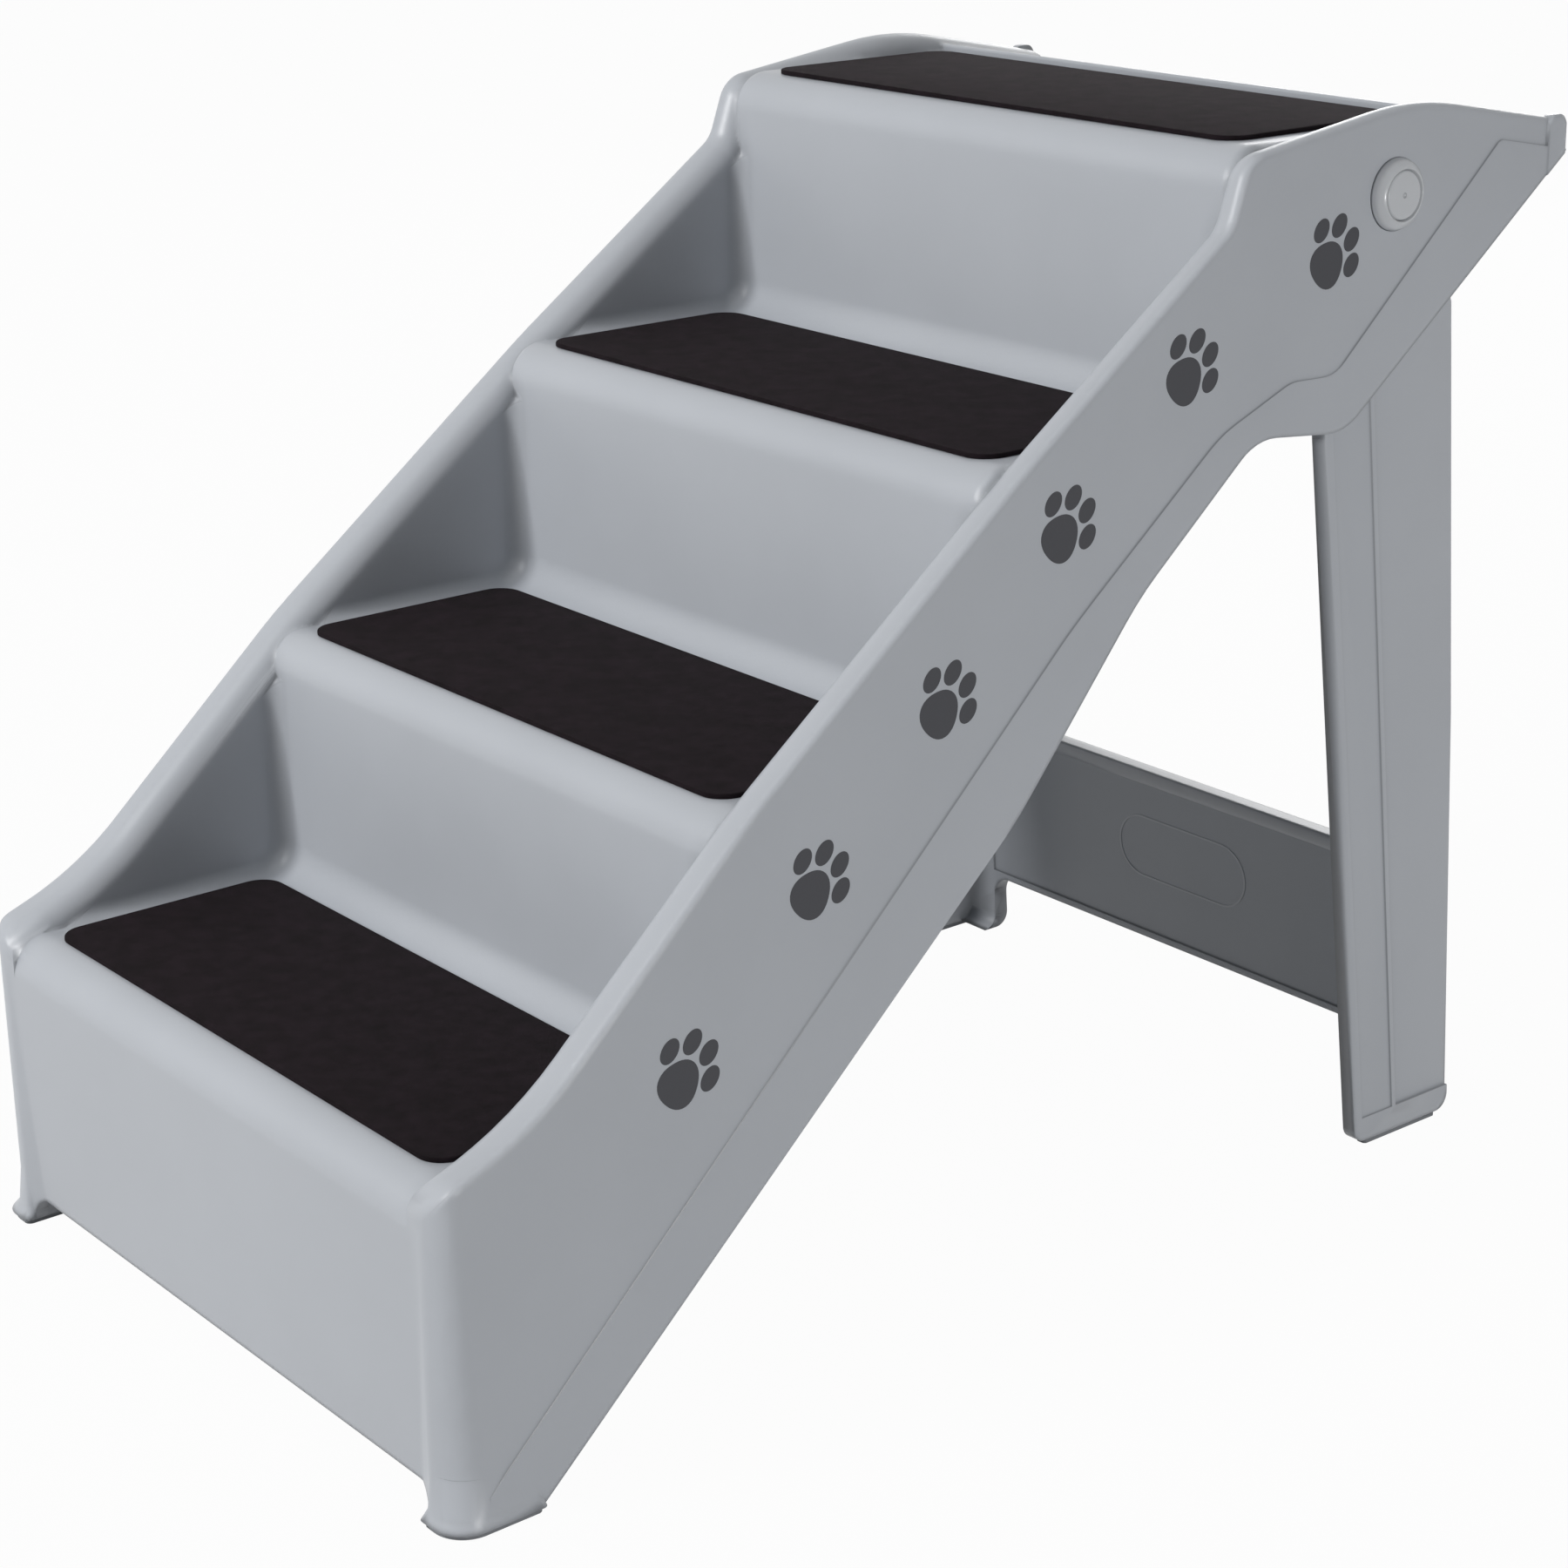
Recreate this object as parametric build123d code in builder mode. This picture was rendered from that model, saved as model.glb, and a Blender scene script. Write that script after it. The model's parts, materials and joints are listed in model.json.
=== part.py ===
from build123d import *

import os
from math import acos, atan2, cos, hypot, radians, sin

# Folding pet stairs: a moulded flight of treads between two splayed side panels, carried at the
# back by a leg frame that turns on two pins and swings forward into the hollow side rails.
# X runs across the treads, +Y from the front to the back, Z up. The origin is on the floor,
# in the middle of the object's box.

# Treads
step_count = 4
step_run = 142.0
step_rise = 118.0
first_tread_height = 145.0
nose_radius = 18.0
riser_foot_radius = 16.0
tread_half_width = 165.0
tread_corner_radius = 8.0
nose_end_reach = 6.0
nose_end_radius = 5.0
deck_length = 141.0
deck_rim_height = 3.5
deck_rim_width = 4.0
deck_rim_radius = 1.4

# Outer form
rail_above_deck = 9.0
tail_length = 71.0
side_splay = 9.5
front_corner_radius = 17.0
front_corner_top_radius = 6.0
rail_edge_radius = 3.0
rail_inner_radius = 12.0
tail_end_height = 14.0
tail_end_radius = 9.5
bead_width = 14.0
bead_rise = 3.0
bead_proud = 1.4
bead_radius = 5.0
bead_edge = 1.2

# Walls
side_wall = 3.5
inner_rail_wall = 3.5
ribbon_wall = 4.0
skirt_height = 28.0

# Front feet and front face
foot_length = 42.0
foot_height = 24.0
foot_flare = 4.0
foot_flare_height = 7.0
foot_flare_start = 1.2
foot_floor = 4.0
foot_width = 22.0
foot_shoulder = 2.0
foot_corner_radius = 3.0
foot_front_radius = 15.0
column_proud = 4.0
column_width = 18.0
column_slope_width = 12.0
front_gap_height = 14.0
front_gap_radius = 9.0

# Raised band along the side panels' lower edges
band_proud = 0.8

# Treads' mats
mat_thickness = 2.0
mat_side_gap = 7.5
mat_setback = 14.3
mat_rear_gap = 14.7
mat_corner_radius = 12.0
glue_line = 0.2

# Pivot of the leg frame
pivot_behind_riser = 95.4
pivot_below_tread = 28.0
pin_radius = 8.0
pin_bore_radius = 5.0
pin_flange_radius = 16.3
pin_flange_thickness = 5.8
pin_shoulder_radius = 15.3
pin_shoulder_height = 3.4
pin_crest_radius = 12.4
pin_running_clearance = 0.06
pin_fit_clearance = 0.05
pin_overhang = 3.0
cap_radius = 11.0
cap_recess_clearance = 0.3
cap_thickness = 2.2
cap_edge = 0.8
cap_stem_length = 9.0
cap_stem_clearance = 0.1
washer_radius = 14.0
washer_thickness = 1.6
clip_radius = 11.5
clip_thickness = 2.0
clip_groove_depth = 1.0
clip_gap = 9.0
cap_dimple_radius = 1.3
cap_dimple_depth = 0.4
seat_gap = 0.1

# Leg frame
leg_gap = 0.7
leg_side_gap = 0.4
leg_plate = 7.4
leg_head_radius = 25.0
leg_front_top = (-34.3, -105.0)
leg_foot_front = 12.9
leg_rear_top = (49.7, -55.0)
leg_rear_middle = (67.7, -258.0)
leg_foot_rear = 81.4
leg_foot_floor = 4.0
leg_shoulder_radius = 25.0
leg_foot_radius = 8.0
leg_foot_band = 12.5
leg_front_strip = 6.0
leg_ridge_width = 2.6
leg_ridge_top = (-3.8, -85.2)
leg_ridge_foot = (40.8, -457.3)
leg_panel_depth = 0.8
leg_rear_panel_depth = 1.5
leg_panel_top = -40.0
frame_side_width = 20.2
frame_depth = 9.0
frame_top = -66.0
frame_corner_radius = 12.0
frame_web = 3.5
frame_rim = 3.5
cross_bottom_height = 35.0
cross_top_height = 132.0
cross_recess = 1.2
cross_rib_count = 5
cross_rib = 3.0
fold_angle = 54.0
stop_boss_radius = 5.0
stop_clearance = 0.3
open_stop_share = 0.4
fold_stop_share = 0.25

# Feet
pad_thickness = 2.5
pad_inset = 1.5
leg_pad_inset = 0.7

# One overrun serves every cut
overrun = 10.0

# Sizes and places that follow
flight_length = (step_count - 1) * step_run + deck_length
overall_length = foot_flare + column_proud + flight_length + tail_length
top_tread_height = first_tread_height + (step_count - 1) * step_rise
overall_height = top_tread_height + rail_above_deck
rail_hollow = tread_half_width + inner_rail_wall
leg_inner = rail_hollow + leg_gap
leg_outer = leg_inner + leg_plate
top_half_width = leg_outer + leg_side_gap + side_wall
foot_half_width = top_half_width + side_splay
front_plane = -overall_length / 2 + foot_flare
tail_plane = overall_length / 2
first_riser = front_plane + column_proud
top_riser = first_riser + (step_count - 1) * step_run
deck_rear = top_riser + deck_length
frame_half_gap = leg_inner - frame_side_width
mat_depth = step_run - mat_setback - mat_rear_gap
mat_half_width = tread_half_width - mat_side_gap
pivot_y = top_riser + pivot_behind_riser
pivot_z = top_tread_height - pivot_below_tread
washer_seat = leg_inner - seat_gap - washer_thickness
clip_seat = washer_seat - seat_gap - clip_thickness
pin_end = clip_seat - pin_overhang


def half_width(height):
    """Half the width over the splayed side panels at a height above the floor."""
    return foot_half_width - (foot_half_width - top_half_width) * height / overall_height


def on_steps(run_share, rise_share):
    """A point of the side outline, counted in runs and rises from the first riser and tread."""
    return (first_riser + run_share * step_run, first_tread_height + rise_share * step_rise)


def from_pivot(offset):
    """A point in the side view, given by its offset from the leg's pivot."""
    return (pivot_y + offset[0], pivot_z + offset[1])


def head_tangent(offset, side):
    """Where the straight edge from a leg corner touches the round head, as an offset."""
    turn = atan2(offset[1], offset[0]) + side * acos(leg_head_radius / hypot(*offset))
    return (leg_head_radius * cos(turn), leg_head_radius * sin(turn))


def beside_edge(start, end, share, distance):
    """A place a share of the way along a leg edge and a distance to the right of it."""
    run = end[0] - start[0]
    rise = end[1] - start[1]
    length = hypot(run, rise)
    return (
        start[0] + share * run + distance * rise / length,
        start[1] + share * rise - distance * run / length,
    )


def folded_place(offset):
    """Where a point of the leg frame lies once the frame has folded forward."""
    turn = radians(fold_angle)
    turned_y = offset[0] * cos(turn) + offset[1] * sin(turn)
    turned_z = offset[1] * cos(turn) - offset[0] * sin(turn)
    return from_pivot((turned_y, turned_z))


# Upper edge of the side panels, from the front to the tail, as shares of a run and a rise
rail_start_share = 0.02
rail_shares = (
    (0.293, 0.170),
    (1.082, 1.042),
    (2.103, 2.004),
    (2.941, 2.729),
    (3.011, 2.975),
    (3.772, 3.105),
)
rail_bend_shares = (1.27, 2.54, 2.54, 0.14, 0.14, 1.44)
tail_top_share = 2.945

# Lower edge, from the tail down to the front foot
under_shares = (
    (3.465, 1.890),
    (3.068, 1.941),
    (2.575, 1.449),
    (2.068, 0.729),
)
under_bend_shares = (0.25, 0.25, 1.27, 1.27)

# Upper edge of the band along the lower edge, from the tail down to the front foot
band_shares = (
    (4.493, 2.833),
    (4.162, 2.907),
    (3.415, 2.119),
    (3.218, 2.127),
    (2.912, 1.983),
    (2.296, 1.398),
    (0.081, -1.110),
)
band_bend_shares = (0.04, 0.17, 0.17, 0.5, 2.5)

rail_front = (front_plane, first_tread_height + rail_start_share * step_rise)
rail_bends = [on_steps(*shares) for shares in rail_shares]
rail_bend_radii = [share * step_rise for share in rail_bend_shares]
tail_top = (tail_plane, first_tread_height + tail_top_share * step_rise)
tail_bottom = (tail_plane, tail_top[1] - tail_end_height)
under_bends = [on_steps(*shares) for shares in under_shares]
under_bend_radii = [share * step_rise for share in under_bend_shares]
foot_rear = (front_plane + foot_length, pad_thickness)


def beyond(start, end, distance):
    """The point a distance past the end of a line, on its own direction."""
    run = end[0] - start[0]
    rise = end[1] - start[1]
    length = hypot(run, rise)
    return (end[0] + distance * run / length, end[1] + distance * rise / length)


def rail_profile(inset, nose):
    """Sketch of what lies under the rails' upper edge, brought in by a wall, in the side view."""
    with BuildSketch(Plane.YZ) as profile:
        with BuildLine():
            FilletPolyline(
                (front_plane, -overrun),
                rail_front,
                *rail_bends,
                tail_top,
                (tail_plane, -overrun),
                radius=(nose, *rail_bend_radii, tail_end_radius),
            )
            Line((tail_plane, -overrun), (front_plane, -overrun))
        make_face()
        if inset:
            offset(amount=-inset, kind=Kind.INTERSECTION, mode=Mode.REPLACE)
    return profile.sketch


def side_plane(side, inset):
    """Splayed plane of a side panel, brought in by a wall."""
    return Plane(
        origin=(side * (foot_half_width - inset), 0, 0),
        x_dir=(0, 1, 0),
        z_dir=(side * overall_height, 0, foot_half_width - top_half_width),
    )


def splayed_block(profile, inset):
    """A side profile made solid between the two splayed planes."""
    with BuildPart() as block:
        extrude(profile, amount=foot_half_width + overrun, both=True)
        for side in (-1, 1):
            split(bisect_by=side_plane(side, inset), keep=Keep.BOTTOM)
    return block.part


def front_corner_cuts():
    """What the rounding of the front corners takes away: wide at the floor, tighter at the top."""
    levels = (
        (-overrun, front_corner_radius),
        (2 * first_tread_height, front_corner_top_radius),
    )
    with BuildPart() as cuts:
        for level, radius in levels:
            outer = half_width(level)
            centre = (outer - radius, front_plane + radius)
            with BuildSketch(Plane.XY.offset(level)):
                with BuildLine():
                    arc = CenterArc(centre, radius, -90, 90)
                    Polyline(
                        arc @ 1,
                        (outer + overrun, centre[1]),
                        (outer + overrun, front_plane - overrun),
                        (centre[0], front_plane - overrun),
                        arc @ 0,
                    )
                make_face()
        loft(ruled=True)
        mirror(about=Plane.YZ)
    return cuts.part


def lines_beside(part, distance):
    """Edges of a part that lie flat at a distance to either side of the middle."""
    lines = part.edges().filter_by(lambda edge: abs(abs((edge @ 0).X) - distance) < seat_gap)
    return lines.filter_by(lambda edge: abs(abs((edge @ 1).X) - distance) < seat_gap)


def rail_bars(inner, inset):
    """Bars under the rails' upper edge from an inner face outward, with that face's top rounded."""
    ahead = beyond(rail_bends[0], rail_front, 3 * overrun)
    behind = beyond(rail_bends[-1], tail_top, 3 * overrun)
    low = -3 * overrun
    with BuildPart() as bars:
        with BuildSketch(Plane.YZ.offset(inner)):
            with BuildLine():
                FilletPolyline(
                    (ahead[0], low),
                    ahead,
                    *rail_bends,
                    behind,
                    (behind[0], low),
                    radius=(0, *rail_bend_radii, 0),
                )
                Line((behind[0], low), (ahead[0], low))
            make_face()
            if inset:
                offset(amount=-inset, kind=Kind.INTERSECTION, mode=Mode.REPLACE)
        extrude(amount=2 * (foot_half_width - inner))
        lines = lines_beside(bars, inner)
        lines = lines.filter_by(Axis.Z, reverse=True).filter_by(Axis.Y, reverse=True)
        fillet(lines, radius=rail_inner_radius - inset)
        mirror(about=Plane.YZ)
    return bars.part


def step_points(wall, front):
    """Corners of the flight from the first nose to the last, a wall under its surface."""
    points = [(front, first_tread_height - wall)]
    for step in range(1, step_count):
        face = first_riser + step * step_run + wall
        tread = first_tread_height + step * step_rise - wall
        points += [(face, tread - step_rise), (face, tread)]
    return points


def step_radii(wall):
    """Radii of those corners: under the wall, noses shrink and riser feet grow."""
    nose = nose_radius - wall
    riser_foot = riser_foot_radius + wall
    return [nose, *[riser_foot, nose] * (step_count - 1)]


def flight():
    """The flight of steps, solid, with its ends rounded where the noses run out over the rails."""
    low = -overrun
    half = tread_half_width + nose_end_reach
    with BuildPart() as steps:
        with BuildSketch(Plane.YZ):
            with BuildLine():
                FilletPolyline(
                    (front_plane, low),
                    *step_points(0, front_plane),
                    (deck_rear, top_tread_height),
                    (deck_rear, low),
                    radius=(*step_radii(0), 0),
                )
                Line((deck_rear, low), (front_plane, low))
            make_face()
        extrude(amount=half, both=True)
        ends = lines_beside(steps, half)
        ends = ends.filter_by(lambda edge: edge.center().Y < deck_rear - seat_gap)
        ends = ends.filter_by(lambda edge: edge.center().Z > low + seat_gap)
        fillet(ends, radius=nose_end_radius)
    return steps.part


def step_well(step):
    """What stays open over a tread, up to the next one, rounded where it meets the rails."""
    face = first_riser + step * step_run
    ahead = face - step_run - overrun
    tread = first_tread_height + (step - 1) * step_rise
    with BuildPart() as well:
        with BuildSketch(Plane.YZ):
            with BuildLine():
                FilletPolyline(
                    (ahead, tread),
                    (face, tread),
                    (face, tread + step_rise),
                    radius=riser_foot_radius,
                )
                Polyline((face, tread + step_rise), (ahead, tread + step_rise), (ahead, tread))
            make_face()
        extrude(amount=tread_half_width, both=True)
        lines = lines_beside(well, tread_half_width)
        lines = lines.filter_by(lambda edge: edge.center().Y > ahead + seat_gap)
        lines = lines.filter_by(lambda edge: edge.center().Z < tread + step_rise - seat_gap)
        fillet(lines, radius=tread_corner_radius)
    return well.part


def space_round_deck():
    """What stays open over the top tread, behind it and below its rear skirt."""
    low = -2 * overrun
    high = overall_height + 2 * overrun
    behind = tail_plane + overrun
    ahead = top_riser - overrun
    skirt_front = deck_rear - ribbon_wall - overrun
    skirt_bottom = top_tread_height - skirt_height
    with BuildPart() as space:
        with BuildSketch(Plane.YZ):
            Polygon(
                (deck_rear, skirt_bottom),
                (skirt_front, skirt_bottom),
                (skirt_front, low),
                (behind, low),
                (behind, high),
                (ahead, high),
                (ahead, top_tread_height),
                (deck_rear, top_tread_height),
                align=None,
            )
        extrude(amount=tread_half_width, both=True)
    return space.part


def space_under_steps():
    """The hollow between the rails, under the treads and risers."""
    front = first_riser + ribbon_wall
    back = deck_rear - ribbon_wall
    low = -overrun - seat_gap
    with BuildPart() as space:
        with BuildSketch(Plane.YZ):
            with BuildLine():
                FilletPolyline(
                    (front, low),
                    *step_points(ribbon_wall, front_plane + ribbon_wall),
                    (back, top_tread_height - ribbon_wall),
                    (back, low),
                    radius=(*step_radii(ribbon_wall), ribbon_wall),
                )
                Line((back, low), (front, low))
            make_face()
        extrude(amount=rail_hollow, both=True)
    return space.part


def inner_block():
    """The outside brought in by the side walls, its front corners rounded to match."""
    front = front_plane + side_wall
    with BuildPart() as block:
        add(splayed_block(rail_profile(side_wall, 0), side_wall))
        upright = block.edges().filter_by(lambda edge: edge.center().Y < front + seat_gap)
        upright = upright.filter_by(lambda edge: abs((edge @ 0).Z - (edge @ 1).Z) > nose_radius)
        fillet(upright, radius=front_corner_radius - side_wall)
    return block.part


def space_in_sides():
    """The hollow inside the side rails, open underneath."""
    with BuildPart() as space:
        add(inner_block())
        add(rail_bars(rail_hollow, side_wall), mode=Mode.INTERSECT)
    return space.part


def under_outline(bottom_points):
    """Sketch of what lies below the side panels' lower edges, closed by some points in front."""
    low = -2 * overrun
    behind = tail_plane + overrun
    square_corners = [0] * len(bottom_points)
    with BuildSketch(Plane.YZ) as profile:
        with BuildLine():
            FilletPolyline(
                (behind, tail_bottom[1]),
                tail_bottom,
                *under_bends,
                *bottom_points,
                (behind, low),
                radius=(0, *under_bend_radii, *square_corners),
            )
            Line((behind, low), (behind, tail_bottom[1]))
        make_face()
    return profile.sketch


def lower_band():
    """The band that stands a little proud of the side panels, along their lower edges."""
    low = -2 * overrun
    points = [on_steps(*shares) for shares in band_shares]
    foot = beyond(points[-2], points[-1], 3 * overrun)
    radii = [share * step_rise for share in band_bend_shares]
    with BuildPart() as band:
        with BuildSketch(Plane.YZ):
            with BuildLine():
                FilletPolyline(*points[:-1], foot, (points[0][0], low), radius=(*radii, 0))
                Line((points[0][0], low), points[0])
            make_face()
        extrude(amount=foot_half_width + overrun, both=True)
        for side in (-1, 1):
            split(bisect_by=side_plane(side, -band_proud), keep=Keep.BOTTOM)
        with Locations((0, tail_plane + overall_length / 2, 0)):
            Box(3 * foot_half_width, overall_length, 3 * overall_height, mode=Mode.SUBTRACT)
        Box(2 * (rail_hollow + leg_gap), 2 * overall_length, 3 * overall_height, mode=Mode.SUBTRACT)
    return band.part


def tail_beads():
    """The rounded upright bead that ends each side panel at the back."""
    top = tail_top[1] + bead_rise
    low = tail_bottom[1] - 2 * bead_width
    with BuildPart() as beads:
        with BuildSketch(Plane.YZ.offset(tread_half_width + rail_inner_radius)):
            with Locations((tail_plane - bead_width / 2, (top + low) / 2)):
                RectangleRounded(bead_width, top - low, bead_radius)
        extrude(amount=foot_half_width)
        split(bisect_by=side_plane(1, -bead_proud), keep=Keep.BOTTOM)
        chamfer(beads.faces().sort_by(Axis.X)[-1].edges(), length=bead_edge)
        mirror(about=Plane.YZ)
    return beads.part


def outer_form():
    """The whole outside, solid: rails with rounded edges, the flight between them and its wells."""
    with BuildPart() as form:
        add(splayed_block(rail_profile(0, 0), 0))
        add(front_corner_cuts(), mode=Mode.SUBTRACT)
        # The rails' outer edges and the front edge of the first tread are one line
        front_edge = form.edges().filter_by(lambda edge: edge.center().Y < front_plane + seat_gap)
        front_edge = front_edge.filter_by(Axis.X).sort_by(Axis.Z)[-1]
        fillet(front_edge, radius=rail_edge_radius)
        nose_profile = rail_profile(0, nose_radius)
        extrude(nose_profile, amount=foot_half_width + overrun, both=True, mode=Mode.INTERSECT)
        add(rail_bars(tread_half_width, 0), mode=Mode.INTERSECT)
        extrude(rail_profile(rail_inner_radius, 0), amount=tread_half_width, both=True)
        add(flight())
        for step in range(1, step_count):
            add(step_well(step), mode=Mode.SUBTRACT)
        add(lower_band())
        add(front_corner_cuts(), mode=Mode.SUBTRACT)
        add(tail_beads())
    return form.part


def front_pocket():
    """The front face between the corner columns, set back most at the floor."""
    low = -overrun
    fade = first_tread_height - nose_radius
    ahead = front_plane - overrun
    half = foot_half_width - column_width
    spread = column_slope_width * overrun / column_proud
    with BuildPart() as pocket:
        with BuildSketch(Plane.XY.offset(low)):
            Polygon(
                (-half - spread, ahead),
                (half + spread, ahead),
                (half - column_slope_width, first_riser),
                (column_slope_width - half, first_riser),
                align=None,
            )
        extrude(amount=fade - low)
        lean = Plane(
            origin=(0, front_plane, fade),
            x_dir=(1, 0, 0),
            z_dir=(0, fade, column_proud),
        )
        split(bisect_by=lean, keep=Keep.BOTTOM)
    return pocket.part


def foot_outline(side, level, outward, inset):
    """A front foot's outline: its outer sides moved outward, its inner sides set in."""
    inner = foot_half_width - foot_width + inset
    outer = half_width(level) + outward
    front = front_plane - outward
    rear = foot_rear[0] - inset
    with BuildSketch(Plane.XY.offset(level)) as outline:
        with Locations((side * (inner + outer) / 2, (front + rear) / 2)):
            Rectangle(outer - inner, rear - front)
        corners = outline.vertices().sort_by(lambda corner: side * corner.X - corner.Y)
        fillet(corners[:-1], radius=foot_corner_radius)
        corners = outline.vertices().sort_by(lambda corner: side * corner.X - corner.Y)
        fillet(corners[-1], radius=foot_front_radius)
    return outline.sketch


def foot_block(side):
    """A front foot: it grows out of the corner column and flares at the floor."""
    levels = (
        (pad_thickness, foot_flare, 0),
        (foot_flare_height, foot_flare_start, foot_flare_start),
        (foot_height, -seat_gap, foot_shoulder),
    )
    with BuildPart() as foot:
        for (low, low_out, low_inset), (high, high_out, high_inset) in zip(levels, levels[1:]):
            with BuildPart() as slice_of_foot:
                add(foot_outline(side, low, low_out, low_inset))
                add(foot_outline(side, high, high_out, high_inset))
                loft(ruled=True)
            add(slice_of_foot.part)
    return foot.part


def pivot_plane(side, distance):
    """The plane across the pivot line of one side, at a distance from the middle, facing out."""
    return Plane(
        origin=(side * distance, pivot_y, pivot_z),
        x_dir=(0, 1, 0),
        z_dir=(side, 0, 0),
    )


def across(side, start, length, radius):
    """A round bar along X on the pivot's line, outward from a distance to the middle."""
    with BuildPart() as bar:
        with BuildSketch(pivot_plane(side, start)):
            Circle(radius)
        extrude(amount=length)
    return bar.part


def leg_side(forward):
    """Sketch of the leg frame's side outline, moved forward by a distance."""
    points = [
        from_pivot(head_tangent(leg_front_top, -1)),
        from_pivot(leg_front_top),
        from_pivot((leg_foot_front, pad_thickness - pivot_z)),
        from_pivot((leg_foot_rear, pad_thickness - pivot_z)),
        from_pivot(leg_rear_middle),
        from_pivot(leg_rear_top),
        from_pivot(head_tangent(leg_rear_top, 1)),
    ]
    points = [(place[0] - forward, place[1]) for place in points]
    with BuildSketch(Plane.YZ) as profile:
        with BuildLine():
            FilletPolyline(
                *points,
                radius=(leg_shoulder_radius, leg_foot_radius, leg_foot_radius, 0, 0),
            )
            Line(points[-1], points[0])
        make_face()
        with Locations((pivot_y - forward, pivot_z)):
            Circle(leg_head_radius)
    return profile.sketch


def rear_band(near, far, half_reach):
    """A strip along the rear edge of the leg's side outline, made solid across both legs."""
    with BuildPart() as band:
        extrude(leg_side(near), amount=half_reach, both=True)
        extrude(leg_side(far), amount=half_reach + overrun, both=True, mode=Mode.SUBTRACT)
    return band.part


def upright_bars(bars):
    """Boxes given by half-gap, half-reach, bottom and top, running from front to back."""
    with BuildPart() as boxes:
        for left, right, bottom, top in bars:
            with Locations(((left + right) / 2, pivot_y, (bottom + top) / 2)):
                Box(right - left, 2 * overall_length, top - bottom)
    return boxes.part


def frame_openings():
    """The window above the cross member, the arch below it, and what lies above the frame."""
    window_top = pivot_z + frame_top + 2 * frame_corner_radius
    arch_bottom = -2 * frame_corner_radius
    width = 2 * frame_half_gap
    with BuildPart() as openings:
        with BuildSketch(Plane.XZ.offset(-overall_length)):
            with Locations((0, (cross_top_height + window_top) / 2)):
                RectangleRounded(width, window_top - cross_top_height, frame_corner_radius)
            with Locations((0, (cross_bottom_height + arch_bottom) / 2)):
                RectangleRounded(width, cross_bottom_height - arch_bottom, frame_corner_radius)
            with Locations((0, pivot_z + frame_top + overall_height / 2)):
                Rectangle(2 * leg_inner, overall_height)
        extrude(amount=2 * overall_length)
    return openings.part


def channel_space():
    """The open side of the rear frame's channels, between their rims and ribs."""
    pocket_gap = frame_half_gap + frame_rim
    foot_top = pad_thickness + leg_foot_floor
    top = pivot_z + frame_top - frame_rim
    rib_span = 2 * frame_half_gap / (cross_rib_count - 1)
    ribs = [(index * rib_span - frame_half_gap) for index in range(cross_rib_count)]
    bars = [
        (-leg_inner, -pocket_gap, foot_top, top),
        (pocket_gap, leg_inner, foot_top, top),
        (-leg_inner, leg_inner, cross_bottom_height + frame_rim, cross_top_height - frame_rim),
    ]
    with BuildPart() as space:
        add(rear_band(-overrun, frame_depth - frame_web, leg_inner))
        add(upright_bars(bars), mode=Mode.INTERSECT)
        for place in ribs:
            with Locations((place, pivot_y, (cross_bottom_height + cross_top_height) / 2)):
                Box(cross_rib, 2 * overall_length, cross_top_height, mode=Mode.SUBTRACT)
    return space.part


def leg_face_recess(side, depth, points):
    """A shallow recess in a leg's outer face, drawn in the side view."""
    with BuildPart() as recess:
        with BuildSketch(Plane.YZ.offset(side * (leg_outer - depth))):
            Polygon(*[from_pivot(place) for place in points], align=None)
        extrude(amount=side * (depth + overrun))
    return recess.part


def on_line(start, end, height):
    """The point of a line through two offsets at another height."""
    share = (height - start[1]) / (end[1] - start[1])
    return (start[0] + share * (end[0] - start[0]), height)


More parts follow.
